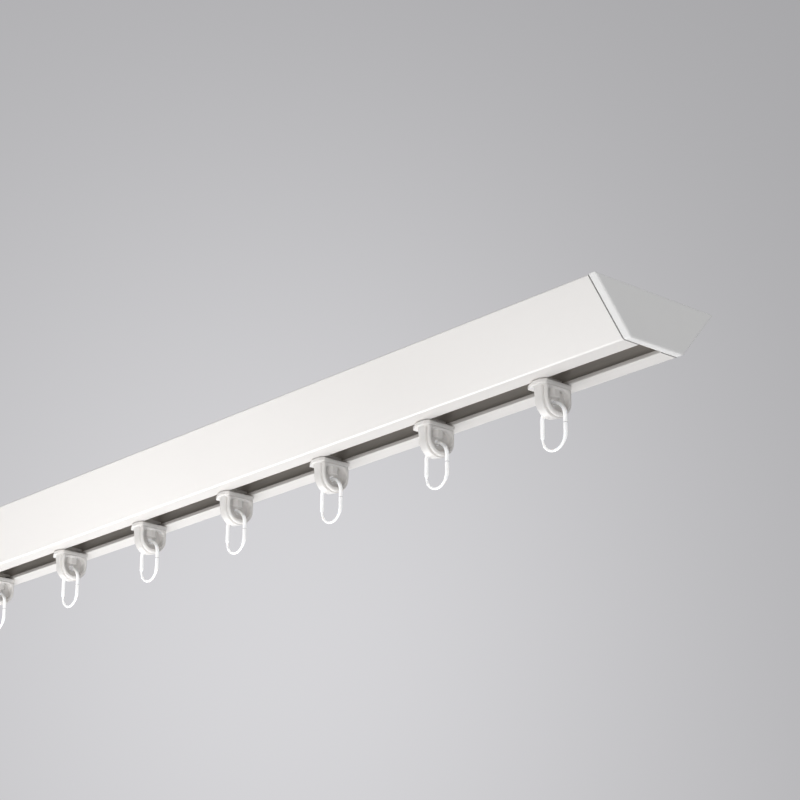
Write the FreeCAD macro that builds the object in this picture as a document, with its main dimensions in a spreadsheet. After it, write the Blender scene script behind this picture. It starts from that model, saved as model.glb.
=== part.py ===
import FreeCAD, Part
import Sketcher
import math
import os

# Ceiling curtain track: an extruded aluminium section with a cap at each end and
# a row of gliders in its slot, each with a snap ring that takes a curtain hook.
# X runs along the track, Y across it and Z up. The origin is the middle of the
# face that lies against the ceiling, so everything else is at negative Z.

doc = FreeCAD.newDocument("curtain_track")
sheet = doc.addObject("Spreadsheet::Sheet", "sizes")

SIZES = [
    ("track_length", 543.6, "aluminium section, without its caps"),
    ("section_height", 18, "ceiling face to bottom face"),
    ("top_width", 56.3, "section across the ceiling face"),
    ("bottom_width", 25, "section across the bottom face"),
    ("bottom_radius", 1.5, "rounding of the two bottom corners"),
    ("top_wall", 1.6, "wall against the ceiling"),
    ("side_wall", 1.4, "sloping side wall, measured square to it"),
    ("web_wall", 1.3, "upright wall beside the glider channel"),
    ("lip_thickness", 1.5, "lips that carry the gliders"),
    ("channel_width", 15.4, "inside of the glider channel"),
    ("slot_width", 10.6, "opening between the two lips"),
    ("drill_groove_width", 1, "centre line groove in the channel roof"),
    ("drill_groove_depth", 0.4, "centre line groove in the channel roof"),
    ("screw_hole_radius", 2.5, "holes for the ceiling screws"),
    ("screw_spacing", 399.5, "between the two ceiling screws"),
    ("cap_thickness", 3.2, "plate of an end cap"),
    ("cap_edge", 0.4, "softened edge of the cap's outer face"),
    ("joint_groove", 0.25, "fine groove where the cap meets the section"),
    ("spigot_length", 9, "tongues of the cap inside the section"),
    ("spigot_clearance", 0.15, "tongue to the walls of its chamber"),
    ("spigot_rise", 3, "floor of the chamber to the tongue"),
    ("spigot_lead", 0.6, "lead-in at the end of a tongue"),
    ("glider_count", 9, "gliders on the track"),
    ("end_distance", 43.5, "end of the section to the first glider"),
    ("head_thickness", 1.3, "plate that slides on the lips"),
    ("head_length", 4.8, "head and neck along the track"),
    ("head_setback", 5, "face of the hanger's rim to the head and neck"),
    ("head_clearance", 0.15, "head above the lips"),
    ("head_side_clearance", 1, "head to each side of the channel"),
    ("neck_side_clearance", 0.8, "neck to each lip"),
    ("flange_gap", 0.25, "flange below the lips"),
    ("flange_thickness", 1.5, "plate under the lips"),
    ("flange_overlap", 1.9, "flange past each side of the slot"),
    ("flange_length", 10, "flange along the track, from the face of the rim"),
    ("flange_tail_width", 12, "flange at the face of the rim"),
    ("flange_tail_taper", 1.9, "part that widens from there"),
    ("flange_nose_width", 9.6, "flange at its other end"),
    ("flange_nose_taper", 4.4, "part that narrows to that end"),
    ("hanger_thickness", 5.9, "hanger along the track"),
    ("hanger_width", 12.6, "hanger across the track"),
    ("hanger_drop", 12.6, "bottom face of the track to the hanger's lowest point"),
    ("rim_width", 1.75, "smaller rim of the hanger at its face"),
    ("rim_step", 0.3, "step down to that rim"),
    ("recess_depth", 2.45, "recess in each end of the hanger"),
    ("recess_width", 9.8, "recess across the track"),
    ("recess_floor", 2.1, "hanger below the recess"),
    ("recess_roof", 0.9, "wall between recess and flange"),
    ("block_width", 2.6, "block in the recess above the eye, at its face"),
    ("block_foot", 3.6, "block where it meets the web"),
    ("block_depth", 1.75, "block from the web to its face"),
    ("block_clearance", 0.15, "block above the eye"),
    ("eye_radius", 1.25, "hole that the ring passes through"),
    ("eye_drop", 6.95, "bottom face of the track to the middle of the eye"),
    ("ring_length", 17.6, "snap ring, end to end"),
    ("ring_width", 11.8, "snap ring, side to side"),
    ("wire_width", 1.2, "section of the ring, in its own plane"),
    ("wire_depth", 1.3, "section of the ring, across its plane"),
    ("ring_clearance", 0.165, "turning wire to the bottom of the eye"),
    ("snap_drop", 7.8, "ring's upper wire to the joint of its snap leg"),
    ("snap_width", 0.2, "groove round that joint"),
    ("snap_depth", 0.15, "groove round that joint"),
    ("flex_width", 1, "relief that thins the ring where it flexes open"),
    ("flex_thickness", 0.6, "ring left at that relief"),
    ("flex_rise", 0.8, "relief above the start of the ring's lower bend"),
]

for row, (alias, value, meaning) in enumerate(SIZES, 1):
    sheet.set("A%d" % row, alias)
    sheet.set("B%d" % row, str(value))
    sheet.set("C%d" % row, meaning)
    sheet.setAlias("B%d" % row, alias)
doc.recompute()


def size(alias):
    return float(sheet.get(alias))


def number(expression):
    return float(sheet.evalExpression(expression))


# Sketch helpers: every point of an outline is tied to the sheet.

def new_body(label):
    body = doc.addObject("PartDesign::Body", label)
    body.Label = label
    return body


def origin_plane(body, role):
    return [item for item in body.Origin.OriginFeatures if item.Role == role][0]


def new_sketch(body, name, role, offset="0"):
    sketch = body.newObject("Sketcher::SketchObject", name)
    sketch.AttachmentSupport = [(origin_plane(body, role), "")]
    sketch.MapMode = "FlatFace"
    sketch.setExpression("AttachmentOffset.Base.z", offset)
    return sketch


def constrain(sketch, kind, parts, expression=None):
    """Add one constraint, with its size as an expression where it has one."""
    if expression is None:
        return sketch.addConstraint(Sketcher.Constraint(kind, *parts))
    index = sketch.addConstraint(Sketcher.Constraint(kind, *parts, number(expression)))
    sketch.setExpression("Constraints[%d]" % index, expression)
    return index


def place(sketch, edge, end, x, y):
    """Fix one point of an edge at two expressions, measured from the origin."""
    for kind, axis, expression in (("DistanceX", -2, x), ("DistanceY", -1, y)):
        distance = number(expression)
        if abs(distance) < 1e-9:
            constrain(sketch, "PointOnObject", (edge, end, axis))
        elif distance > 0:
            constrain(sketch, kind, (-1, 1, edge, end), expression)
        else:
            constrain(sketch, kind, (edge, end, -1, 1), "-(%s)" % expression)


def polygon(sketch, corners):
    """Closed outline of straight edges through corners given as expressions."""
    points = [FreeCAD.Vector(number(x), number(y), 0) for x, y in corners]
    first = sketch.GeometryCount
    count = len(points)
    for step in range(count):
        sketch.addGeometry(Part.LineSegment(points[step], points[(step + 1) % count]), False)
    for step in range(count):
        constrain(sketch, "Coincident", (first + step, 2, first + (step + 1) % count, 1))
    for step, (x, y) in enumerate(corners):
        place(sketch, first + step, 1, x, y)


def rectangle(sketch, x, y, width, height):
    """Rectangle about a middle point."""
    left, right = "%s - (%s) / 2" % (x, width), "%s + (%s) / 2" % (x, width)
    low, high = "%s - (%s) / 2" % (y, height), "%s + (%s) / 2" % (y, height)
    polygon(sketch, [(left, low), (right, low), (right, high), (left, high)])


def circle(sketch, x, y, radius):
    centre = FreeCAD.Vector(number(x), number(y), 0)
    up = FreeCAD.Vector(0, 0, 1)
    edge = sketch.addGeometry(Part.Circle(centre, up, number(radius)), False)
    place(sketch, edge, 3, x, y)
    constrain(sketch, "Radius", (edge,), radius)


def half_circle(sketch, y, radius, low):
    """Upper or lower half of a circle about a point on the sketch's upright axis."""
    centre = FreeCAD.Vector(0, number(y), 0)
    whole = Part.Circle(centre, FreeCAD.Vector(0, 0, 1), number(radius))
    start, end = (math.pi, 2 * math.pi) if low else (0, math.pi)
    edge = sketch.addGeometry(Part.ArcOfCircle(whole, start, end), False)
    place(sketch, edge, 3, "0", y)
    constrain(sketch, "Radius", (edge,), radius)
    constrain(sketch, "Horizontal", (edge, 1, edge, 3))
    constrain(sketch, "Horizontal", (edge, 2, edge, 3))
    return edge


def join(sketch, edge, end, other, other_end):
    """Straight edge from one edge's end to another's."""
    start_point = sketch.getPoint(edge, end)
    end_point = sketch.getPoint(other, other_end)
    line = sketch.addGeometry(Part.LineSegment(start_point, end_point), False)
    constrain(sketch, "Coincident", (line, 1, edge, end))
    constrain(sketch, "Coincident", (line, 2, other, other_end))
    return line


def u_outline(sketch, half_width, top, bottom):
    """Straight top and sides, closed below by a half circle."""
    centre = "%s + %s" % (bottom, half_width)
    arc = half_circle(sketch, centre, half_width, True)
    left = FreeCAD.Vector(-number(half_width), number(top), 0)
    right = FreeCAD.Vector(number(half_width), number(top), 0)
    lid = sketch.addGeometry(Part.LineSegment(left, right), False)
    place(sketch, lid, 1, "-(%s)" % half_width, top)
    place(sketch, lid, 2, half_width, top)
    join(sketch, arc, 1, lid, 1)
    join(sketch, arc, 2, lid, 2)


def long_ring(sketch, half_width, top, bottom):
    """Half circle above, half circle below and two straight sides."""
    upper = half_circle(sketch, "%s - %s" % (top, half_width), half_width, False)
    lower = half_circle(sketch, "%s + %s" % (bottom, half_width), half_width, True)
    join(sketch, upper, 2, lower, 1)
    join(sketch, lower, 2, upper, 1)


# Feature helpers

def pad(body, name, sketch, length, both_ways=False, backwards=False):
    feature = body.newObject("PartDesign::Pad", name)
    feature.Profile = sketch
    feature.setExpression("Length", length)
    feature.SideType = "Symmetric" if both_ways else "One side"
    feature.Reversed = backwards
    doc.recompute()
    return feature


def cut(body, name, sketch, depth, both_ways=False, backwards=False):
    """Pocket that has to take material away."""
    before = body.Shape.Volume
    feature = body.newObject("PartDesign::Pocket", name)
    feature.Profile = sketch
    feature.setExpression("Length", depth)
    feature.SideType = "Symmetric" if both_ways else "One side"
    feature.Reversed = backwards
    doc.recompute()
    if not body.Shape.Volume < before:
        raise RuntimeError(name + " takes nothing away")
    return feature


def dress(body, name, kind, base, edges, amount):
    """Fillet or chamfer on the edges that a test picks out."""
    names = []
    for index, edge in enumerate(base.Shape.Edges, 1):
        if edges(edge):
            names.append("Edge%d" % index)
    if not names:
        raise RuntimeError(name + " finds no edge")
    feature = body.newObject("PartDesign::" + kind, name)
    feature.Base = (base, names)
    feature.setExpression("Radius" if kind == "Fillet" else "Size", amount)
    doc.recompute()
    return feature


def mirror(body, name, features):
    """Repeat features on the far side of the body's own YZ plane."""
    feature = body.newObject("PartDesign::Mirrored", name)
    feature.Originals = features
    feature.MirrorPlane = (origin_plane(body, "YZ_Plane"), [""])
    body.Tip = feature
    doc.recompute()
    return feature


def near(value, target):
    return abs(value - target) < 1e-4


def lies_at_x(edge, place_x):
    box = edge.BoundBox
    return near(box.XMin, place_x) and near(box.XMax, place_x)


# The section: a wide face on the ceiling, sides that slope in to a narrow
# bottom, and a slot along the middle of the bottom. Two upright webs make the
# glider channel and leave a closed chamber behind each sloping side.

BOTTOM = "-sizes.section_height"
LIP_TOP = "-sizes.section_height + sizes.lip_thickness"
ROOF = "-sizes.top_wall"
SLOT_HALF = "sizes.slot_width / 2"
CHANNEL_HALF = "sizes.channel_width / 2"
SIDE_RUN = "((sizes.top_width - sizes.bottom_width) / 2)"
SIDE_SLOPE = "(%s / sizes.section_height)" % SIDE_RUN
SIDE_STRETCH = "sqrt(1 + %s ^ 2)" % SIDE_SLOPE


def both_sides(half):
    """Corners on the +Y side, with their mirror images on the -Y side."""
    return half + [("-(%s)" % y, z) for y, z in reversed(half)]


def outer_section():
    return both_sides([
        ("sizes.bottom_width / 2", BOTTOM),
        ("sizes.top_width / 2", "0"),
    ])


def channel_section():
    edge = [
        (SLOT_HALF, BOTTOM + " - sizes.lip_thickness"),
        (SLOT_HALF, LIP_TOP),
        (CHANNEL_HALF, LIP_TOP),
        (CHANNEL_HALF, ROOF),
        ("sizes.drill_groove_width / 2", ROOF),
    ]
    tip = [("0", ROOF + " + sizes.drill_groove_depth")]
    return edge + tip + [("-(%s)" % y, z) for y, z in reversed(edge)]


def chamber_section(side, gap="0", rise="0"):
    """Chamber behind one sloping side, drawn in by a gap and raised from its floor."""
    floor = "(%s + %s)" % (LIP_TOP, rise)
    roof = "(%s - %s)" % (ROOF, gap)
    inner = "%s + sizes.web_wall + %s" % (CHANNEL_HALF, gap)
    slope = (
        "sizes.bottom_width / 2 + (%s + sizes.section_height) * " + SIDE_SLOPE
        + " - (sizes.side_wall + " + gap + ") * " + SIDE_STRETCH
    )
    corners = [(inner, floor), (slope % floor, floor), (slope % roof, roof), (inner, roof)]
    if side < 0:
        corners = [("-(%s)" % y, z) for y, z in corners]
    return corners


def is_bottom_corner(edge):
    box = edge.BoundBox
    along = box.XLength > 1 and near(box.YLength, 0) and near(box.ZLength, 0)
    outside = near(abs(box.Center.y), size("bottom_width") / 2)
    return along and outside and near(box.Center.z, -size("section_height"))


def track_profile():
    body = new_body("track_profile")
    outside = new_sketch(body, "section_outside", "YZ_Plane")
    polygon(outside, outer_section())
    bar = pad(body, "section_bar", outside, "sizes.track_length", both_ways=True)
    dress(body, "bottom_rounding", "Fillet", bar, is_bottom_corner, "sizes.bottom_radius")
    channel = new_sketch(body, "channel_outline", "YZ_Plane")
    polygon(channel, channel_section())
    cut(body, "glider_channel", channel, "sizes.track_length", both_ways=True)
    chambers = new_sketch(body, "chamber_outlines", "YZ_Plane")
    polygon(chambers, chamber_section(1))
    polygon(chambers, chamber_section(-1))
    cut(body, "side_chambers", chambers, "sizes.track_length", both_ways=True)
    holes = new_sketch(body, "screw_hole_circles", "XY_Plane")
    for sign in ("", "-"):
        circle(holes, sign + "sizes.screw_spacing / 2", "0", "sizes.screw_hole_radius")
    cut(body, "screw_holes", holes, "sizes.top_wall * 2", both_ways=True)
    return body


# An end cap is a plate of the section's own outline, with two tongues that push
# into the side chambers. Its own X axis points away from the track.

def end_cap(label, side):
    body = new_body(label)
    outside = new_sketch(body, label + "_outline", "YZ_Plane")
    polygon(outside, outer_section())
    plate = pad(body, label + "_plate", outside, "sizes.cap_thickness")
    rounded = dress(
        body, label + "_rounding", "Fillet", plate, is_bottom_corner, "sizes.bottom_radius"
    )
    grooved = dress(
        body, label + "_joint", "Chamfer", rounded,
        lambda edge: lies_at_x(edge, 0), "sizes.joint_groove"
    )
    dress(
        body, label + "_edge", "Chamfer", grooved,
        lambda edge: lies_at_x(edge, size("cap_thickness")), "sizes.cap_edge"
    )
    tongues = new_sketch(body, label + "_tongue_outlines", "YZ_Plane")
    for chamber in (1, -1):
        polygon(tongues, chamber_section(chamber, "sizes.spigot_clearance", "sizes.spigot_rise"))
    pushed = pad(body, label + "_tongues", tongues, "sizes.spigot_length", backwards=True)
    dress(
        body, label + "_lead", "Chamfer", pushed,
        lambda edge: lies_at_x(edge, -size("spigot_length")), "sizes.spigot_lead"
    )
    body.Placement.Rotation = FreeCAD.Rotation(FreeCAD.Vector(0, 0, 1), 0 if side > 0 else 180)
    body.setExpression("Placement.Base.x", "%d * sizes.track_length / 2" % side)
    return body


# A glider is one moulding. Its own origin is in the bottom face of the track:
# the head slides on the lips, the neck fills the slot, the flange lies under the
# lips and the hanger below carries the eye. The face of its rim looks along +X.

HEAD_FLOOR = "sizes.lip_thickness + sizes.head_clearance"
FLANGE_TOP = "-sizes.flange_gap"
FLANGE_FLOOR = "-sizes.flange_gap - sizes.flange_thickness"
RIM_FACE = "sizes.hanger_thickness / 2"
RIM_START = RIM_FACE + " - sizes.rim_width"
HEAD_END = RIM_FACE + " - sizes.head_setback"
HANGER_HALF = "sizes.hanger_width / 2"
HANGER_FLOOR = "-sizes.hanger_drop"
WEB_FACE = RIM_FACE + " - sizes.recess_depth"
RECESS_ROOF = "%s - sizes.recess_roof" % FLANGE_FLOOR
RECESS_FLOOR = "-sizes.hanger_drop + sizes.recess_floor"
GLIDER_PITCH = "(sizes.track_length - 2 * sizes.end_distance) / (sizes.glider_count - 1)"


def glider_place(index):
    """Place along the track of glider number index, counted from the left end."""
    return "sizes.end_distance - sizes.track_length / 2 + %d * %s" % (index, GLIDER_PITCH)


def glider(index):
    label = "glider_%d" % (index + 1)
    body = new_body(label)

    def plate(name, half, floor, thickness, backwards=False):
        """Flat plate through the given corners and their mirror images in Y."""
        outline = new_sketch(body, "%s_%s_outline" % (label, name), "XY_Plane", floor)
        polygon(outline, half + [(x, "-(%s)" % y) for x, y in reversed(half)])
        return pad(body, "%s_%s" % (label, name), outline, thickness, backwards=backwards)

    def straight(half_width):
        return [(HEAD_END, half_width), (HEAD_END + " - sizes.head_length", half_width)]

    head_half = CHANNEL_HALF + " - sizes.head_side_clearance"
    neck_half = SLOT_HALF + " - sizes.neck_side_clearance"
    flange_half = SLOT_HALF + " + sizes.flange_overlap"
    plate("head", straight(head_half), HEAD_FLOOR, "sizes.head_thickness")
    plate("neck", straight(neck_half), FLANGE_TOP, "%s + sizes.flange_gap" % HEAD_FLOOR)
    plate("flange", [
        (RIM_FACE, "sizes.flange_tail_width / 2"),
        (RIM_FACE + " - sizes.flange_tail_taper", flange_half),
        (RIM_FACE + " - sizes.flange_length + sizes.flange_nose_taper", flange_half),
        (RIM_FACE + " - sizes.flange_length", "sizes.flange_nose_width / 2"),
    ], FLANGE_TOP, "sizes.flange_thickness", backwards=True)

    def hanger_slice(name, inset, width, backwards=False):
        """Part of the hanger that starts where its rim does."""
        outline = new_sketch(body, "%s_%s_outline" % (label, name), "YZ_Plane", RIM_START)
        half_width = "(%s - %s)" % (HANGER_HALF, inset)
        u_outline(outline, half_width, FLANGE_TOP, "%s + %s" % (HANGER_FLOOR, inset))
        return pad(body, "%s_%s" % (label, name), outline, width, backwards=backwards)

    hanger_slice("trunk", "0", "sizes.hanger_thickness - sizes.rim_width", backwards=True)
    hanger_slice("rim", "sizes.rim_step", "sizes.rim_width")

    outline = new_sketch(body, label + "_recess_outline", "YZ_Plane", RIM_FACE)
    u_outline(outline, "sizes.recess_width / 2", RECESS_ROOF, RECESS_FLOOR)
    recess = cut(body, label + "_recess", outline, "sizes.recess_depth")

    eye_top = "-sizes.eye_drop + sizes.eye_radius + sizes.block_clearance"
    outline = new_sketch(body, label + "_block_outline", "XY_Plane", eye_top)
    polygon(outline, [
        ("0", "-sizes.block_foot / 2"),
        (WEB_FACE, "-sizes.block_foot / 2"),
        (WEB_FACE + " + sizes.block_depth", "-sizes.block_width / 2"),
        (WEB_FACE + " + sizes.block_depth", "sizes.block_width / 2"),
        (WEB_FACE, "sizes.block_foot / 2"),
        ("0", "sizes.block_foot / 2"),
    ])
    block = pad(body, label + "_block", outline, "%s - (%s)" % (FLANGE_FLOOR, eye_top))
    mirror(body, label + "_far_side", [recess, block])

    outline = new_sketch(body, label + "_eye_circle", "YZ_Plane")
    circle(outline, "0", "-sizes.eye_drop", "sizes.eye_radius")
    cut(body, label + "_eye", outline, "sizes.hanger_thickness", both_ways=True)

    body.setExpression("Placement.Base.x", glider_place(index))
    body.setExpression("Placement.Base.z", "-sizes.section_height")
    return body


# A snap ring is one moulding with its own origin in the middle of its upper
# wire. It hangs in the plane of the track and the hook: X and Z.

WIRE_HALF = "sizes.wire_width / 2"
RING_FLOOR = "(%s - sizes.ring_length)" % WIRE_HALF
RING_HALF = "sizes.ring_width / 2"
WIRE_REACH = "sqrt(sizes.wire_width ^ 2 + sizes.wire_depth ^ 2) / 2"
EYE_FLOOR = "-sizes.section_height - sizes.eye_drop - sizes.eye_radius"


def hook_ring(index):
    label = "hook_ring_%d" % (index + 1)
    body = new_body(label)
    outline = new_sketch(body, label + "_outline", "XZ_Plane")
    long_ring(outline, RING_HALF, WIRE_HALF, RING_FLOOR)
    inner_half = "(%s - sizes.wire_width)" % RING_HALF
    long_ring(outline, inner_half, "-" + WIRE_HALF, RING_FLOOR + " + sizes.wire_width")
    pad(body, label + "_hoop", outline, "sizes.wire_depth", both_ways=True)

    joint = new_sketch(body, label + "_snap_outlines", "XY_Plane", "-sizes.snap_drop")
    leg_middle = RING_HALF + " - " + WIRE_HALF
    rectangle(joint, leg_middle, "0", "sizes.wire_width", "sizes.wire_depth")
    core = ("sizes.wire_width - 2 * sizes.snap_depth", "sizes.wire_depth - 2 * sizes.snap_depth")
    rectangle(joint, leg_middle, "0", *core)
    cut(body, label + "_snap_joint", joint, "sizes.snap_width")

    relief = new_sketch(body, label + "_flex_outline", "XZ_Plane")
    bend_start = RING_FLOOR + " + " + RING_HALF
    relief_depth = "sizes.wire_width - sizes.flex_thickness"
    relief_middle = "-(%s - sizes.wire_width + (%s) / 2)" % (RING_HALF, relief_depth)
    rectangle(relief, relief_middle, bend_start + " + sizes.flex_rise", relief_depth, "sizes.flex_width")
    cut(body, label + "_flex_relief", relief, "sizes.wire_depth", both_ways=True)
    body.setExpression("Placement.Base.x", glider_place(index))
    body.setExpression("Placement.Base.z", "%s + %s + sizes.ring_clearance" % (EYE_FLOOR, WIRE_REACH))
    return body


pieces = [track_profile(), end_cap("end_cap_right", 1), end_cap("end_cap_left", -1)]
for place_index in range(int(size("glider_count"))):
    pieces.append(glider(place_index))
    pieces.append(hook_ring(place_index))
doc.recompute()

for item in doc.Objects:
    if "Invalid" in item.State or "Error" in item.State:
        raise RuntimeError(item.Label + " failed")
for piece in pieces:
    if piece.Shape.isNull() or not piece.Shape.isValid():
        raise RuntimeError(piece.Label + " is not a valid solid")

os.makedirs("parts", exist_ok=True)
for piece in pieces:
    piece.Shape.exportStep("parts/" + piece.Label + ".step")
    print(piece.Label, round(piece.Shape.Volume, 2), len(piece.Shape.Solids))
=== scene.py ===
from math import cos, pi, radians, sin, sqrt

import bmesh
import bpy
from mathutils import Matrix, Vector


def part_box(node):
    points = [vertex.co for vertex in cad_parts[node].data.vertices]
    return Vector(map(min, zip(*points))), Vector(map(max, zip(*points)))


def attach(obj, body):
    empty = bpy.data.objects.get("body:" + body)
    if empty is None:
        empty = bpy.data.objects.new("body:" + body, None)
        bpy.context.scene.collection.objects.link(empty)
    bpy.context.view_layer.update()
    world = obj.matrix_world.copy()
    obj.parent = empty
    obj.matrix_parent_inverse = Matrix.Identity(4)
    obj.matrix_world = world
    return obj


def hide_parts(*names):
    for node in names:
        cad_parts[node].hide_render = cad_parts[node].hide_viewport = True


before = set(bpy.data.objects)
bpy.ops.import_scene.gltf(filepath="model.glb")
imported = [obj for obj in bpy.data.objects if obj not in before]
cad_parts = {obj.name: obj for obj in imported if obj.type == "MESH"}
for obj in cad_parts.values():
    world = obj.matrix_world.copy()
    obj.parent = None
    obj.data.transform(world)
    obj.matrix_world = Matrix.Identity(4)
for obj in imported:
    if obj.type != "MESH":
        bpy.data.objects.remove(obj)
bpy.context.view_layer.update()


# The track section. One aluminium extrusion: a wide face on the ceiling, sides
# that slope in to a narrow bottom, a slot between two lips and a deep channel
# behind it. It is powder coated white; painted shade darkens the channel and the
# slot walls, and a painted shadow line marks the joint at each cap.

class Wire:
    """A node socket that can be reckoned with; make() adds any other node."""

    def __init__(self, tree, socket=None):
        self.tree = tree
        self.socket = socket

    def make(self, kind, settings=None, sockets=None, out=0):
        node = self.tree.nodes.new(kind)
        for name, value in (settings or {}).items():
            setattr(node, name, value)
        for name, value in (sockets or {}).items():
            if isinstance(value, Wire):
                self.tree.links.new(value.socket, node.inputs[name])
            else:
                node.inputs[name].default_value = value
        return Wire(self.tree, node.outputs[out] if node.outputs else None)

    def math(self, operation, *values):
        return self.make("ShaderNodeMath", {"operation": operation}, dict(enumerate(values)))

    def __add__(self, other):
        return self.math("ADD", self, other)

    def __radd__(self, other):
        return self.math("ADD", other, self)

    def __sub__(self, other):
        return self.math("SUBTRACT", self, other)

    def __rsub__(self, other):
        return self.math("SUBTRACT", other, self)

    def __mul__(self, other):
        return self.math("MULTIPLY", self, other)

    def __truediv__(self, other):
        return self.math("DIVIDE", self, other)


def new_material(name):
    """A material with a bare node tree, and a Wire to build it from."""
    material = bpy.data.materials.new(name)
    material.use_nodes = True
    material.node_tree.nodes.clear()
    return material, Wire(material.node_tree)


def finish_material(wire, constants, varying):
    """Principled shader: constants sit on its own sockets, varying inputs are linked."""
    shader = wire.make("ShaderNodeBsdfPrincipled", sockets={**constants, **varying})
    wire.make("ShaderNodeOutputMaterial", sockets={"Surface": shader})


def blend_colours(wire, share, first, second):
    """From the first colour to the second as the share goes from 0 to 1."""
    sockets = {"Factor": share, "A": first, "B": second}
    node = wire.tree.nodes.new("ShaderNodeMix")
    node.data_type = "RGBA"
    for name, value in sockets.items():
        kind = "NodeSocketFloatFactor" if name == "Factor" else "NodeSocketColor"
        target = [s for s in node.inputs if s.name == name and s.bl_idname == kind][0]
        if isinstance(value, Wire):
            wire.tree.links.new(value.socket, target)
        else:
            target.default_value = value
    result = [s for s in node.outputs if s.bl_idname == "NodeSocketColor"][0]
    return Wire(wire.tree, result)


def noise(wire, place, scale, detail=2.0, roughness=0.5):
    return wire.make(
        "ShaderNodeTexNoise", {},
        {"Vector": place, "Scale": scale, "Detail": detail, "Roughness": roughness},
        out="Fac",
    )


def object_place(wire, stretch=(1, 1, 1)):
    """Object coordinates in metres, stretched along the axes."""
    raw = wire.make("ShaderNodeTexCoord", out="Object")
    return wire.make("ShaderNodeMapping", {}, {"Vector": raw, "Scale": stretch})


def split(wire, vector):
    """The three parts of a vector."""
    parts = wire.make("ShaderNodeSeparateXYZ", {}, {"Vector": vector})
    return [Wire(wire.tree, part) for part in parts.socket.node.outputs]


def ramp(wire, value, start, end, first=0.0, last=1.0, kind="SMOOTHSTEP"):
    """Runs from first to last while the value goes from start to end."""
    return wire.make("ShaderNodeMapRange", {"interpolation_type": kind}, {
        "Value": value, "From Min": start, "From Max": end, "To Min": first, "To Max": last,
    })


MM = 0.001
track_low, track_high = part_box("track_profile")
SECTION_HEIGHT = track_high.z - track_low.z
TRACK_LENGTH = track_high.x - track_low.x
TOP_HALF = track_high.y
BOTTOM_HALF = 12.5 * MM
SLOT_HALF = 5.3 * MM
CHANNEL_HALF = 7.7 * MM
LIP = 1.5 * MM
TOP_WALL = 1.6 * MM
SIDE_WALL = 1.4 * MM
WEB_WALL = 1.3 * MM
BOTTOM_RADIUS = 1.5 * MM
TOP_RADIUS = 0.3 * MM
EDGE_RADIUS = 0.2 * MM
INNER_RADIUS = 0.4 * MM
GROOVE_HALF = 0.5 * MM
GROOVE_DEPTH = 0.4 * MM
SCREW_SPACING = 399.5 * MM
SCREW_HOLE_RADIUS = 2.5 * MM

floor_z = -SECTION_HEIGHT
side_slope = (TOP_HALF - BOTTOM_HALF) / SECTION_HEIGHT
side_stretch = sqrt(1 + side_slope ** 2)


def side_at(height, inset):
    """Half width of the section at a height, drawn in square to its sloping side."""
    return BOTTOM_HALF + (height - floor_z) * side_slope - inset * side_stretch


def mirrored(half):
    """Half an outline followed by its mirror image."""
    return half + [(-y, z, radius) for y, z, radius in reversed(half)]


def slotted_outline():
    """The section's outer line, in through the slot and round the channel."""
    roof = -TOP_WALL
    return mirrored([
        (0.0, roof + GROOVE_DEPTH, 0.0),
        (GROOVE_HALF, roof, 0.0),
        (CHANNEL_HALF, roof, INNER_RADIUS),
        (CHANNEL_HALF, floor_z + LIP, INNER_RADIUS),
        (SLOT_HALF, floor_z + LIP, EDGE_RADIUS),
        (SLOT_HALF, floor_z, EDGE_RADIUS),
        (BOTTOM_HALF, floor_z, BOTTOM_RADIUS),
        (TOP_HALF, 0.0, TOP_RADIUS),
    ])[:-1]


def chamber_outline(side):
    """The closed chamber between a web and a sloping side."""
    inner = CHANNEL_HALF + WEB_WALL
    low, high = floor_z + LIP, -TOP_WALL
    corners = [
        (inner, low), (side_at(low, SIDE_WALL), low), (side_at(high, SIDE_WALL), high),
        (inner, high),
    ]
    return [(side * y, z, INNER_RADIUS) for y, z in corners]


def loops_object(name, loops):
    """Mesh of closed outlines; each corner keeps the radius that rounds it."""
    mesh = bpy.data.meshes.new(name)
    points, edges, radii = [], [], []
    for loop in loops:
        first, count = len(points), len(loop)
        points += [(y, z, 0.0) for y, z, _ in loop]
        radii += [radius for _, _, radius in loop]
        edges += [(first + i, first + (i + 1) % count) for i in range(count)]
    mesh.from_pydata(points, edges, [])
    corner = mesh.attributes.new("corner_radius", "FLOAT", "POINT")
    corner.data.foreach_set("value", radii)
    thing = bpy.data.objects.new(name, mesh)
    bpy.context.scene.collection.objects.link(thing)
    return thing


def new_geometry_tree(name, inputs):
    """Geometry tree with named inputs; returns it, a Wire for it and its inputs."""
    tree = bpy.data.node_groups.new(name, "GeometryNodeTree")
    tree.interface.new_socket("Geometry", in_out="INPUT", socket_type="NodeSocketGeometry")
    for label, (kind, value) in inputs.items():
        socket = tree.interface.new_socket(label, in_out="INPUT", socket_type=kind)
        if value is not None:
            socket.default_value = value
    tree.interface.new_socket("Geometry", in_out="OUTPUT", socket_type="NodeSocketGeometry")
    entry = tree.nodes.new("NodeGroupInput")
    wires = {socket.name: Wire(tree, socket) for socket in entry.outputs if socket.name}
    return tree, Wire(tree), wires


def end_tree(wire, geometry, material):
    """Realize Instances and Set Material, then the group's output."""
    real = wire.make("GeometryNodeRealizeInstances", {}, {"Geometry": geometry})
    painted = wire.make("GeometryNodeSetMaterial", {}, {"Geometry": real, "Material": material})
    wire.make("NodeGroupOutput", {}, {"Geometry": painted})


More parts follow.
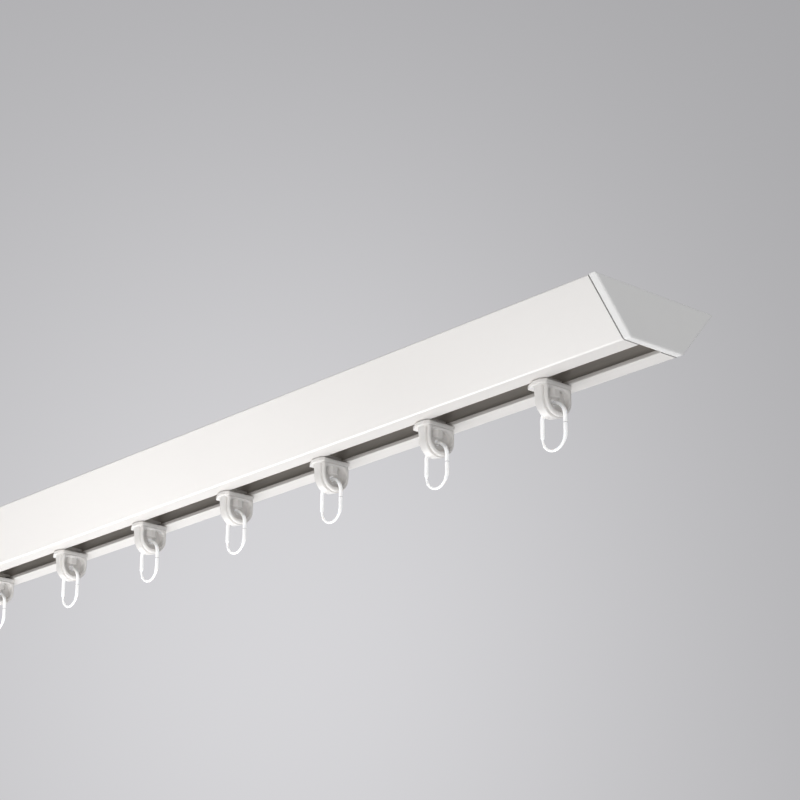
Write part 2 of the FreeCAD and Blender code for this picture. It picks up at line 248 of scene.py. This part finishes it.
def run_tree(base, tree, values, name):
    """Evaluate a tree on a base object, and keep only the plain mesh it gives."""
    modifier = base.modifiers.new("shape", "NODES")
    modifier.node_group = tree
    for item in tree.interface.items_tree:
        if item.item_type == "SOCKET" and item.name in values:
            modifier[item.identifier] = values[item.name]
    bpy.context.view_layer.update()
    graph = bpy.context.evaluated_depsgraph_get()
    mesh = bpy.data.meshes.new_from_object(base.evaluated_get(graph), depsgraph=graph)
    bpy.data.objects.remove(base)
    mesh.name = name
    piece = bpy.data.objects.new(name, mesh)
    bpy.context.scene.collection.objects.link(piece)
    return piece


def smooth_with_flat_faces(piece):
    """Smooth shading whose large flat faces stay flat."""
    piece.data.shade_smooth()
    piece.data.set_sharp_from_angle(angle=radians(50))
    weighted = piece.modifiers.new("flat_faces", "WEIGHTED_NORMAL")
    weighted.keep_sharp = True
    weighted.weight = 100


bar_tree, wire, given = new_geometry_tree("extruded_section", {
    "Length": ("NodeSocketFloat", 1.0),
    "Rounding": ("NodeSocketInt", 6),
    "Hole Spacing": ("NodeSocketFloat", 0.0),
    "Hole Radius": ("NodeSocketFloat", 0.0),
    "Material": ("NodeSocketMaterial", None),
})
lines = wire.make("GeometryNodeMeshToCurve", {}, {"Mesh": given["Geometry"]})
corner = wire.make(
    "GeometryNodeInputNamedAttribute", {"data_type": "FLOAT"}, {"Name": "corner_radius"}
)
rounded = wire.make("GeometryNodeFilletCurve", {"mode": "POLY"}, {
    "Curve": lines, "Radius": corner, "Count": given["Rounding"], "Limit Radius": True,
})
face = wire.make("GeometryNodeFillCurve", {"mode": "NGONS"}, {"Curve": rounded})
along = wire.make("ShaderNodeCombineXYZ", {}, {"Z": given["Length"]})
pushed = wire.make("GeometryNodeExtrudeMesh", {}, {
    "Mesh": face, "Offset": along, "Offset Scale": 1.0, "Individual": False,
})
back = wire.make("GeometryNodeFlipFaces", {}, {"Mesh": face})
both = wire.make("GeometryNodeJoinGeometry", {}, {"Geometry": pushed})
wire.tree.links.new(back.socket, both.socket.node.inputs[0])
closed = wire.make("GeometryNodeMergeByDistance", {}, {"Geometry": both, "Distance": 1e-7})
half_back = wire.make("ShaderNodeCombineXYZ", {}, {"X": given["Length"] * -0.5})
bar = wire.make("GeometryNodeTransform", {}, {
    "Geometry": closed, "Translation": half_back, "Rotation": (pi / 2, 0.0, pi / 2),
})
drill = wire.make("GeometryNodeMeshCylinder", {}, {
    "Vertices": 48, "Radius": given["Hole Radius"], "Depth": 4 * TOP_WALL,
}, out="Mesh")
first_hole = wire.make("ShaderNodeCombineXYZ", {}, {"X": given["Hole Spacing"] * -0.5})
next_hole = wire.make("ShaderNodeCombineXYZ", {}, {"X": given["Hole Spacing"]})
row = wire.make("GeometryNodeMeshLine", {}, {
    "Count": 2, "Start Location": first_hole, "Offset": next_hole,
})
drills = wire.make("GeometryNodeInstanceOnPoints", {}, {"Points": row, "Instance": drill})
drills = wire.make("GeometryNodeRealizeInstances", {}, {"Geometry": drills})
drilled = wire.make("GeometryNodeMeshBoolean", {"operation": "DIFFERENCE", "solver": "EXACT"}, {
    "Mesh 1": bar, "Mesh 2": drills,
}, out="Mesh")
end_tree(wire, drilled, given["Material"])


# Width of the painted shadow line in the joint gap at each cap
CAP_JOINT_SHADOW_WIDTH = 0.3 * MM
# How far the borders of the painted channel shade and the slot lie past their faces
CHANNEL_MARGIN = 0.1 * MM
HEIGHT_MARGIN = 0.05 * MM
SLOT_MARGIN = 0.02 * MM
# Share of painted shade up the slot walls, and the heights it grows between
SLOT_SHADE = 0.55
SLOT_SHADE_START = 0.12 * MM
SLOT_SHADE_END = 0.6 * MM
COAT_COLOURS = ((0.782, 0.760, 0.737, 1), (0.812, 0.790, 0.766, 1))
FLECK_COLOUR = (0.70, 0.68, 0.66, 1)
# Painted shade for the channel and slot, which little light reaches
CHANNEL_SHADE_COLOURS = ((0.315, 0.291, 0.267, 1), (0.420, 0.390, 0.356, 1))
# Painted shadow colour for the joint gap at each cap
CAP_JOINT_SHADOW_COLOUR = (0.17, 0.16, 0.155, 1)


def powder_coat():
    """Satin coat with painted shade in the channel and up the slot, and a painted shadow line
    at each cap joint.
    """
    material, wire = new_material("white_powder_coat")
    place = object_place(wire)
    along, across, height = split(wire, place)
    # Painted shadow line in the joint gap at each end of the section
    from_end = TRACK_LENGTH / 2 - wire.math("ABSOLUTE", along)
    cap_joint_shadow = wire.math("LESS_THAN", from_end, CAP_JOINT_SHADOW_WIDTH)
    off_middle = wire.math("ABSOLUTE", across)
    above_lips = wire.math("GREATER_THAN", height, floor_z + LIP - HEIGHT_MARGIN)
    below_roof = wire.math("LESS_THAN", height, -TOP_WALL + GROOVE_DEPTH + HEIGHT_MARGIN)
    # The channel: painted shade in its colour, a rougher finish and drawn lines in its bumps
    inside = wire.math("LESS_THAN", off_middle, CHANNEL_HALF + CHANNEL_MARGIN)
    inside = inside * above_lips * below_roof
    in_slot = wire.math("LESS_THAN", off_middle, SLOT_HALF + SLOT_MARGIN)
    in_slot = in_slot * wire.math("LESS_THAN", height, floor_z + LIP)
    # Painted shade, growing up the slot walls towards the channel
    slot_shade = in_slot * ramp(
        wire, height, floor_z + SLOT_SHADE_START, floor_z + SLOT_SHADE_END, 0.0, SLOT_SHADE, "LINEAR"
    )
    cloud = noise(wire, place, 14.0, 2.0)
    fleck = noise(wire, place, 2600.0, 1.0)
    peel = noise(wire, place, 750.0, 2.0, 0.45)
    drawn = noise(wire, object_place(wire, (4, 900, 900)), 1.0, 3.0)
    coat = blend_colours(wire, cloud, *COAT_COLOURS)
    coat = blend_colours(wire, fleck * 0.12, coat, FLECK_COLOUR)
    # Painted shade colour, with faint drawn streaks, over the channel and slot
    channel_shade = blend_colours(wire, drawn, *CHANNEL_SHADE_COLOURS)
    colour = blend_colours(wire, wire.math("MAXIMUM", inside, slot_shade), coat, channel_shade)
    # Lay the painted joint shadow over the coat
    colour = blend_colours(wire, cap_joint_shadow * 0.9, colour, CAP_JOINT_SHADOW_COLOUR)
    roughness = 0.25 + cloud * 0.05 + peel * 0.05 + inside * 0.2
    bumps = peel * 0.8 * (1 - inside) + fleck * 0.2 + drawn * inside
    normal = wire.make("ShaderNodeBump", {}, {
        "Height": bumps, "Strength": 0.35, "Distance": 0.00006,
    })
    finish_material(
        wire, {"Metallic": 0.0, "IOR": 1.5, "Specular IOR Level": 0.45},
        {"Base Color": colour, "Roughness": roughness, "Normal": normal},
    )
    return material


coat_material = powder_coat()
track = run_tree(
    loops_object("section_lines", [
        slotted_outline(), chamber_outline(1), chamber_outline(-1),
    ]),
    bar_tree,
    {
        "Length": TRACK_LENGTH, "Rounding": 6, "Hole Spacing": SCREW_SPACING,
        "Hole Radius": SCREW_HOLE_RADIUS, "Material": coat_material,
    },
    "coated_section",
)
smooth_with_flat_faces(track)
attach(track, "track")
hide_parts("track_profile")


# The end caps. Each is a moulding in white plastic, a plate of the section's own
# outline whose two tongues push into the side chambers. Its softened inner edge
# leaves a fine joint line against the section, deepened by a painted shadow line on
# the section's coat.

CAP_EDGE = 0.22 * MM
# Painted shadow colour for the gap of a ring's snap joint
SNAP_GAP_SHADOW_COLOUR = (0.30, 0.29, 0.28, 1)


def softened_copy(node, name):
    """Copy of a CAD solid with its edges rounded, as a mould leaves them."""
    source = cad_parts[node]
    mesh = source.data.copy()
    mesh.name = name
    shape = bmesh.new()
    shape.from_mesh(mesh)
    bmesh.ops.remove_doubles(shape, verts=shape.verts, dist=2e-6)
    bmesh.ops.dissolve_limit(
        shape, angle_limit=radians(1), verts=shape.verts, edges=shape.edges,
        delimit={"NORMAL"},
    )
    shape.to_mesh(mesh)
    shape.free()
    piece = bpy.data.objects.new(name, mesh)
    bpy.context.scene.collection.objects.link(piece)
    rounding = piece.modifiers.new("edges", "BEVEL")
    rounding.width = CAP_EDGE
    rounding.segments = 3
    rounding.limit_method = "ANGLE"
    rounding.angle_limit = radians(25)
    rounding.harden_normals = False
    return piece


def moulded_plastic(
    name, dark, light, roughness, grain, soft_light=0.0, reach=0.8 * MM, glow=0.0
):
    """White moulding: faint clouding, a fine eroded grain, soft inner light and an
    optional painted glow.

    A mesh may hold an attribute marking a joint's gap, painted dark as its shadow
    and left without glow, and "sheltered", where shade falls and no glow is painted.
    """
    material, wire = new_material(name)
    place = object_place(wire)
    cloud = noise(wire, place, 60.0, 3.0)
    fine = noise(wire, place, 4200.0, 2.0)
    flow = noise(wire, object_place(wire, (120, 120, 45)), 1.0, 2.0)
    snap_gap_shadow, sheltered = [
        wire.make("ShaderNodeAttribute", {"attribute_name": kept}, out="Fac")
        for kept in ("snap_gap_shadow", "sheltered")
    ]
    colour = blend_colours(wire, cloud * 0.6 + flow * 0.4, dark, light)
    # Painted shadow in the gap of a snap joint
    colour = blend_colours(wire, snap_gap_shadow * 0.8, colour, SNAP_GAP_SHADOW_COLOUR)
    # Painted glow colour: white, left out in the joint gap and where shade falls
    painted_glow_colour = blend_colours(
        wire, wire.math("MAXIMUM", snap_gap_shadow, sheltered), (1, 1, 1, 1), (0, 0, 0, 1)
    )
    normal = wire.make("ShaderNodeBump", {}, {
        "Height": fine * grain + flow * 0.4, "Strength": 0.25, "Distance": 0.00004,
    })
    finish_material(
        wire,
        {
            "IOR": 1.48, "Specular IOR Level": 0.4, "Subsurface Weight": soft_light,
            "Subsurface Radius": (1.0, 0.92, 0.85), "Subsurface Scale": reach,
            "Emission Strength": glow,
        },
        {
            "Base Color": colour, "Roughness": roughness + fine * 0.08, "Normal": normal,
            "Emission Color": painted_glow_colour,
        },
    )
    return material


cap_material = moulded_plastic(
    "cap_plastic", dark=(0.800, 0.795, 0.784, 1), light=(0.832, 0.827, 0.816, 1),
    roughness=0.42, grain=1.0,
)
for side in ("right", "left"):
    cap = softened_copy("end_cap_" + side, "moulded_cap_" + side)
    cap.data.materials.clear()
    cap.data.materials.append(cap_material)
    smooth_with_flat_faces(cap)
    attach(cap, "track")
    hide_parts("end_cap_" + side)


# The gliders. Each is one white moulding: a head that slides on the lips, a neck
# in the slot, a flange under the lips and a hanger with a recess in each end and
# an eye for the ring. The mould leaves soft edges, a round bead and a slight draft.

GLIDERS = sorted(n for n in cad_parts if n.startswith("glider_"))
FACES_KEPT = 0.3
# Sizes in millimetres: along the track from the ring's plane, across it from its
# middle and up from its bottom face
VOXEL = 0.13
HANGER_HALF = 6.3
FLANGE_FLOOR = -1.75
NEAR_FACE = 2.95
FAR_FACE = -2.95
RIM_START = 1.2
RIM_HALF = 6.0
RECESS_HALF = 4.9
RECESS_BEND = -5.6
RECESS_ROOF = -2.65
WEB_FACE = 0.5
BLOCK_FACE = 2.25
BLOCK_HALF = 1.6
BLOCK_FLOOR = -5.7
BLOCK_EASE = 0.3
SPREAD_WIDTH = 0.9
FACE_SPREAD = -0.35
DRAFT_START = -2.0
DRAFT_END = -6.5
BEAD_HEIGHT = 0.55
BEAD_DEPTH = 1.05
RECESS_BLEND = 0.3
RIM_BLEND = 1.6
GROOVE_PLACE = 1.35
GROOVE_WIDTH = 0.3

moulding_tree, wire, given = new_geometry_tree("soft_moulding", {
    "Softening": ("NodeSocketInt", 8),
    "Draft": ("NodeSocketFloat", 0.5),
    "Bead Rounding": ("NodeSocketFloat", 1.0),
    "Groove Depth": ("NodeSocketFloat", 0.65),
    "Block Spread": ("NodeSocketFloat", 0.75),
    "Corner Radius": ("NodeSocketFloat", 2.5),
    "Scale": ("NodeSocketFloat", MM),
    "Material": ("NodeSocketMaterial", None),
})
here = wire.make("GeometryNodeInputPosition", {})
soft = wire.make("GeometryNodeBlurAttribute", {"data_type": "FLOAT_VECTOR"}, {
    "Iterations": given["Softening"], "Value": here,
})
relaxed = wire.make("GeometryNodeSetPosition", {}, {
    "Geometry": given["Geometry"], "Position": soft,
})
here = wire.make("GeometryNodeInputPosition", {})
along, across, height = split(wire, here)
off_middle = wire.math("ABSOLUTE", across)
side = wire.math("SIGN", across)
on_hanger = ramp(wire, height, FLANGE_FLOOR + 0.15, FLANGE_FLOOR - 0.2)

# Draft: the trunk narrows towards its far face
inset = ramp(wire, along, RIM_START, FAR_FACE, kind="LINEAR")
inset = inset * ramp(wire, height, DRAFT_START, DRAFT_END) * given["Draft"]

# Bead: the rim's face is domed between the recess and the rim's outside
drop = wire.math("MINIMUM", height + HANGER_HALF, 0.0)
reach = wire.math("SQRT", across * across + drop * drop)
inner_drop = wire.math("MINIMUM", height - RECESS_BEND, 0.0)
inner_reach = wire.math("SQRT", across * across + inner_drop * inner_drop)
from_recess = wire.math(
    "SMOOTH_MAX", inner_reach - RECESS_HALF, height - RECESS_ROOF, RECESS_BLEND
)
from_rim = wire.math("SMOOTH_MIN", RIM_HALF - reach, FLANGE_FLOOR - height, RIM_BLEND)
over_bead = from_recess / wire.math("MAXIMUM", from_recess + from_rim, 0.05)
over_bead = wire.math("ABSOLUTE", over_bead * 2 - 1)
over_bead = wire.math("MINIMUM", over_bead, 1.0)
dome = (1 - wire.math("SQRT", 1 - over_bead * over_bead)) * BEAD_HEIGHT
dome = dome * ramp(wire, along, NEAR_FACE - BEAD_DEPTH, NEAR_FACE) * on_hanger
dome = dome * given["Bead Rounding"]

# Groove: on the hanger's outside, between trunk and bead
from_groove = (along - GROOVE_PLACE) / GROOVE_WIDTH
groove = wire.math("EXPONENT", from_groove * from_groove * -1.0) * on_hanger
groove = groove * wire.math("GREATER_THAN", reach, RIM_HALF - BEAD_HEIGHT)
groove = groove * given["Groove Depth"]
shrink = 1 - (inset / HANGER_HALF + groove / wire.math("MAXIMUM", reach, 1.0))

# Block: wider at its foot and narrower at its face
depth_in = wire.math("ABSOLUTE", along)
in_recess = wire.math("GREATER_THAN", depth_in, WEB_FACE - 0.1)
in_recess = in_recess * wire.math("LESS_THAN", height, RECESS_ROOF + 0.15)
in_recess = in_recess * ramp(wire, height, BLOCK_FLOOR, BLOCK_FLOOR + BLOCK_EASE)
from_side = (off_middle - BLOCK_HALF) / SPREAD_WIDTH
spread = wire.math("EXPONENT", from_side * from_side * -1.0)
spread = spread * ramp(wire, depth_in, WEB_FACE, BLOCK_FACE, 1.0, FACE_SPREAD, "LINEAR")
spread = spread * in_recess * given["Block Spread"] * side

# Upper corners of the recess: its square corner is drawn in to a round one
bend = given["Corner Radius"]
out = wire.math("MAXIMUM", off_middle - RECESS_HALF + bend, 0.0)
up = wire.math("MAXIMUM", height - RECESS_ROOF + bend, 0.0)
far = wire.math("MAXIMUM", wire.math("SQRT", out * out + up * up), 0.001)
near = wire.math("MAXIMUM", wire.math("MAXIMUM", out, up), 0.001)
excess = bend * far / near - bend
held = ramp(wire, far - excess - bend, 0.0, RIM_HALF - RECESS_HALF, 1.0, 0.0, "LINEAR")
in_wall = wire.math("GREATER_THAN", near, bend)
bent = near * (1 - in_wall) + (far - excess * held) * in_wall
draw_in = bent / far - 1

shaped = wire.make("ShaderNodeCombineXYZ", {}, {
    "X": along - dome,
    "Y": across * shrink + spread + side * out * draw_in,
    "Z": height + (height + HANGER_HALF) * (shrink - 1) + up * draw_in,
})
moved = wire.make("GeometryNodeSetPosition", {}, {"Geometry": relaxed, "Position": shaped})
size = wire.make("ShaderNodeCombineXYZ", {}, {
    "X": given["Scale"], "Y": given["Scale"], "Z": given["Scale"],
})
small = wire.make("GeometryNodeTransform", {}, {"Geometry": moved, "Scale": size})
end_tree(wire, small, given["Material"])


def glider_middle(node):
    """Place along the track of the ring's plane of a glider."""
    low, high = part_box(node.replace("glider", "hook_ring"))
    return (low.x + high.x) / 2


def moulded_glider(node, material):
    """The solid, in millimetres about its own middle, remeshed finely and relaxed."""
    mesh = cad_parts[node].data.copy()
    shape = bmesh.new()
    shape.from_mesh(mesh)
    bmesh.ops.remove_doubles(shape, verts=shape.verts, dist=2e-6)
    middle = Matrix.Translation((-glider_middle(node), 0, SECTION_HEIGHT))
    bmesh.ops.transform(shape, matrix=Matrix.Scale(1 / MM, 4) @ middle, verts=shape.verts)
    shape.to_mesh(mesh)
    shape.free()
    base = bpy.data.objects.new("glider_start", mesh)
    bpy.context.scene.collection.objects.link(base)
    fine = base.modifiers.new("fine", "REMESH")
    fine.mode = "VOXEL"
    fine.voxel_size = VOXEL
    fine.adaptivity = 0.0
    return run_tree(base, moulding_tree, {"Material": material}, "soft_glider")


glider_material = moulded_plastic(
    "glider_plastic", dark=(0.732, 0.712, 0.690, 1), light=(0.776, 0.758, 0.736, 1),
    roughness=0.36, grain=0.6, soft_light=0.15, reach=0.5 * MM,
)
soft_glider = moulded_glider(GLIDERS[0], glider_material)
thinner = soft_glider.modifiers.new("thinner", "DECIMATE")
thinner.ratio = FACES_KEPT
graph = bpy.context.evaluated_depsgraph_get()
soft_mesh = bpy.data.meshes.new_from_object(soft_glider.evaluated_get(graph), depsgraph=graph)
bpy.data.objects.remove(soft_glider)
for node in GLIDERS:
    mesh = soft_mesh.copy()
    mesh.name = "moulded_" + node
    mesh.transform(Matrix.Translation((glider_middle(node), 0, -SECTION_HEIGHT)))
    mesh.shade_smooth()
    moulding = bpy.data.objects.new(mesh.name, mesh)
    bpy.context.scene.collection.objects.link(moulding)
    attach(moulding, node + "_body")
    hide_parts(node)
bpy.data.meshes.remove(soft_mesh)


# The snap rings. Each is one white moulding, an oval of rounded section with a
# snap joint in one leg and a thin place where it flexes open. It hangs in the
# glider's eye. A faint painted glow stands for light through its thin wire; it is
# left out on the arc in the recess, where shade falls, and a painted shadow darkens
# the snap joint's gap.

RING_WIDTH = 11.8 * MM
RING_LENGTH = 17.6 * MM
WIRE_WIDTH = 1.2 * MM
WIRE_DEPTH = 1.3 * MM
WIRE_STEP = 0.1 * MM
SNAP_GROOVE = 0.2 * MM
# Heights as shares of the ring's length, up from its middle
BOW_SHARES = (-0.22, -0.40)
# Heights of the arc in the glider's recess, where shade falls and no glow is painted
SHELTER_SHARES = (0.22, 0.36)
RINGS = sorted(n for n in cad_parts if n.startswith("hook_ring_"))

ring_tree, wire, given = new_geometry_tree("snap_ring", {
    "Width": ("NodeSocketFloat", RING_WIDTH),
    "Length": ("NodeSocketFloat", RING_LENGTH),
    "Wire Width": ("NodeSocketFloat", WIRE_WIDTH),
    "Wire Depth": ("NodeSocketFloat", WIRE_DEPTH),
    "Snap Height": ("NodeSocketFloat", 0.4 * MM),
    "Snap Thinning": ("NodeSocketFloat", 0.22),
    "Flex Height": ("NodeSocketFloat", -4.2 * MM),
    "Flex Reach": ("NodeSocketFloat", 1.6 * MM),
    "Flex Thinning": ("NodeSocketFloat", 0.42),
    "Bow Thinning": ("NodeSocketFloat", 0.3),
    "Place": ("NodeSocketVector", (0.0, 0.0, 0.0)),
    "Material": ("NodeSocketMaterial", None),
})
path_width = given["Width"] - given["Wire Width"]
path_length = given["Length"] - given["Wire Width"]
oval = wire.make("GeometryNodeCurvePrimitiveQuadrilateral", {}, {
    "Width": path_width, "Height": path_length,
})
oval = wire.make("GeometryNodeFilletCurve", {"mode": "POLY"}, {
    "Curve": oval, "Radius": path_width * 0.4999, "Count": 24, "Limit Radius": True,
})
oval = wire.make("GeometryNodeResampleCurve", {"mode": "LENGTH"}, {
    "Curve": oval, "Length": WIRE_STEP,
})
spot = wire.make("GeometryNodeInputPosition", {})
aside, upward, _ = split(wire, spot)
on_snap_leg = wire.math("GREATER_THAN", aside, 0.0)
from_snap = wire.math("ABSOLUTE", upward - given["Snap Height"])
groove = wire.math("LESS_THAN", from_snap, SNAP_GROOVE / 2) * on_snap_leg
from_flex = wire.math("ABSOLUTE", upward - given["Flex Height"])
flexing = (1 - on_snap_leg) * ramp(
    wire, from_flex, given["Flex Reach"] * 0.5, given["Flex Reach"], 1.0, 0.0
)
bow = ramp(wire, upward, given["Length"] * BOW_SHARES[0], given["Length"] * BOW_SHARES[1])
thickness = 1 - groove * given["Snap Thinning"] - flexing * given["Flex Thinning"]
thickness = thickness - bow * (1 - flexing) * given["Bow Thinning"]
sheltered = ramp(
    wire, upward, given["Length"] * SHELTER_SHARES[0], given["Length"] * SHELTER_SHARES[1]
)
# Kept for the material: the snap groove gets a painted shadow, and the sheltered arc no painted
# glow
for kept, value in (("snap_gap_shadow", groove), ("sheltered", sheltered)):
    oval = wire.make("GeometryNodeStoreNamedAttribute", {"data_type": "FLOAT"}, {
        "Geometry": oval, "Name": kept, "Value": value,
    })
section = wire.make("GeometryNodeCurvePrimitiveQuadrilateral", {}, {
    "Width": given["Wire Width"], "Height": given["Wire Depth"],
})
section = wire.make("GeometryNodeFilletCurve", {"mode": "POLY"}, {
    "Curve": section, "Radius": given["Wire Width"] * 0.4, "Count": 5, "Limit Radius": True,
})
hoop = wire.make("GeometryNodeCurveToMesh", {}, {
    "Curve": oval, "Profile Curve": section, "Scale": thickness, "Fill Caps": False,
})
upright = wire.make("GeometryNodeTransform", {}, {
    "Geometry": hoop, "Translation": given["Place"], "Rotation": (pi / 2, 0.0, 0.0),
})
end_tree(wire, upright, given["Material"])

# The rings' glow is painted light, standing for light through the thin wire
ring_material = moulded_plastic(
    "ring_plastic", dark=(0.92, 0.92, 0.915, 1), light=(0.95, 0.95, 0.945, 1),
    roughness=0.42, grain=0.3, soft_light=0.25, reach=0.4 * MM, glow=0.27,
)
for node in RINGS:
    low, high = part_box(node)
    start = bpy.data.objects.new("ring_start", bpy.data.meshes.new("ring_start"))
    bpy.context.scene.collection.objects.link(start)
    ring = run_tree(
        start, ring_tree, {"Place": (low + high) / 2, "Material": ring_material},
        "snap_" + node,
    )
    ring.data.shade_smooth()
    number = node.rsplit("_", 1)[1]
    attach(ring, "ring_%s_body" % number)
    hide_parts(node)


# The studio: a pale floor far below, a grey glow behind, soft lamps mostly in front
# and below, and a large card that shows only in reflections and draws a fine light
# line on the rounded edges. None of it belongs to the track.

FLOOR_Z = -2.5
FLOOR_HALF = 6.0

floor_mesh = bpy.data.meshes.new("studio_floor")
floor_mesh.from_pydata(
    [(-FLOOR_HALF, -FLOOR_HALF, FLOOR_Z), (FLOOR_HALF, -FLOOR_HALF, FLOOR_Z),
     (FLOOR_HALF, FLOOR_HALF, FLOOR_Z), (-FLOOR_HALF, FLOOR_HALF, FLOOR_Z)],
    [], [(0, 1, 2, 3)],
)
floor = bpy.data.objects.new("studio_floor", floor_mesh)
bpy.context.scene.collection.objects.link(floor)
floor_material, wire = new_material("pale_floor")
tone = noise(wire, object_place(wire), 1.5, 2.0)
finish_material(wire, {"Roughness": 0.8}, {
    "Base Color": blend_colours(wire, tone, (0.70, 0.70, 0.71, 1), (0.74, 0.74, 0.75, 1)),
})
floor.data.materials.append(floor_material)

# Fitted to the long edges and the cap in the photo: a long lens, turned from the
# track and looking up at it.
CAMERA_PLACE = Vector((0.7044, -0.4932, -0.2632))
CAMERA_YAW = radians(48.24)
CAMERA_PITCH = radians(19.29)
LENS_PIXELS = 2183.9
PHOTO_PIXELS = 800
SENSOR = 36.0

camera_data = bpy.data.cameras.new("camera")
camera_data.sensor_width = SENSOR
camera_data.lens = SENSOR * LENS_PIXELS / PHOTO_PIXELS
camera_data.clip_start = 0.01
camera = bpy.data.objects.new("camera", camera_data)
camera.location = CAMERA_PLACE
camera.rotation_euler = (pi / 2 + CAMERA_PITCH, 0.0, CAMERA_YAW)
bpy.context.scene.collection.objects.link(camera)
bpy.context.scene.camera = camera


WORLD_LIGHT = 0.44
GREY = 0.427
GREY_FALL = (0.1, 0.166)
GLOW = 0.222
GLOW_MIDDLE = (-0.048, -0.0985)
GLOW_SIZE = (0.139, 0.161)


def world_glow():
    """Soft grey glow seen behind the object, and plain light for the object itself."""
    world = bpy.data.worlds.new("studio")
    bpy.context.scene.world = world
    world.use_nodes = True
    world.node_tree.nodes.clear()
    wire = Wire(world.node_tree)
    ahead = Vector((-sin(CAMERA_YAW), cos(CAMERA_YAW), 0.0))
    right = Vector((cos(CAMERA_YAW), sin(CAMERA_YAW), 0.0))
    over = Vector((0, 0, 1)) * cos(CAMERA_PITCH) - ahead * sin(CAMERA_PITCH)
    direction = wire.make("ShaderNodeTexCoord", out="Generated")
    aside, upward = [
        wire.make(
            "ShaderNodeVectorMath", {"operation": "DOT_PRODUCT"},
            {0: direction, 1: axis}, out="Value",
        )
        for axis in (right, over)
    ]
    out_x = (aside - GLOW_MIDDLE[0]) / GLOW_SIZE[0]
    out_y = (upward - GLOW_MIDDLE[1]) / GLOW_SIZE[1]
    bell = wire.math("EXPONENT", (out_x * out_x + out_y * out_y) * -0.5)
    tone = GREY + bell * GLOW - aside * GREY_FALL[0] - upward * GREY_FALL[1]
    glow = blend_colours(wire, tone, (0, 0, 0, 1), (1.0, 0.994, 1.024, 1))
    rays = wire.make("ShaderNodeLightPath")
    seen = Wire(wire.tree, rays.socket.node.outputs["Is Camera Ray"])
    shown = wire.make("ShaderNodeBackground", {}, {"Color": glow, "Strength": 1.0})
    light = wire.make("ShaderNodeBackground", {}, {
        "Color": (0.98, 0.985, 1.0, 1), "Strength": WORLD_LIGHT,
    })
    both = wire.make("ShaderNodeMixShader", {}, {0: seen, 1: light, 2: shown})
    wire.make("ShaderNodeOutputWorld", {}, {"Surface": both})


world_glow()


def soft_lamp(name, place, size, power):
    """A round lamp that looks at the middle of the track."""
    data = bpy.data.lights.new(name, "AREA")
    data.shape = "DISK"
    data.size = size
    data.energy = power
    lamp = bpy.data.objects.new(name, data)
    lamp.location = place
    lamp.rotation_euler = (Vector() - Vector(place)).to_track_quat("-Z", "Y").to_euler()
    bpy.context.scene.collection.objects.link(lamp)
    return lamp


# Place in metres, width in metres and power in watts
LAMPS = {
    "key": ((1.80, -2.34, -1.28), 1.1, 16.2),
    "key_low": ((0.50, -0.64, -0.80), 0.4, 2.3),
    "near_mid": ((0.0, -0.12, -0.30), 0.2, 0.48),
    "near_left": ((-0.481, -0.06, -0.379), 0.3, 0.46),
    "back_below": ((0.0, 0.35, -0.6), 0.4, 0.88),
    "back_left": ((-0.91, 0.38, -1.2), 0.35, 3.4),
    "high_left": ((-0.9, -1.12, 0.51), 0.4, 1.4),
    "high_end": ((1.4, -0.3, 0.9), 0.5, 1.8),
}
for name, (place, size, power) in LAMPS.items():
    soft_lamp(name, place, size, power)
edge_card = soft_lamp("edge_card", (-1.57, 0.29, -1.2), 1.1, 15.0)
edge_card.visible_diffuse = False

view = bpy.context.scene.view_settings
view.view_transform = "Standard"
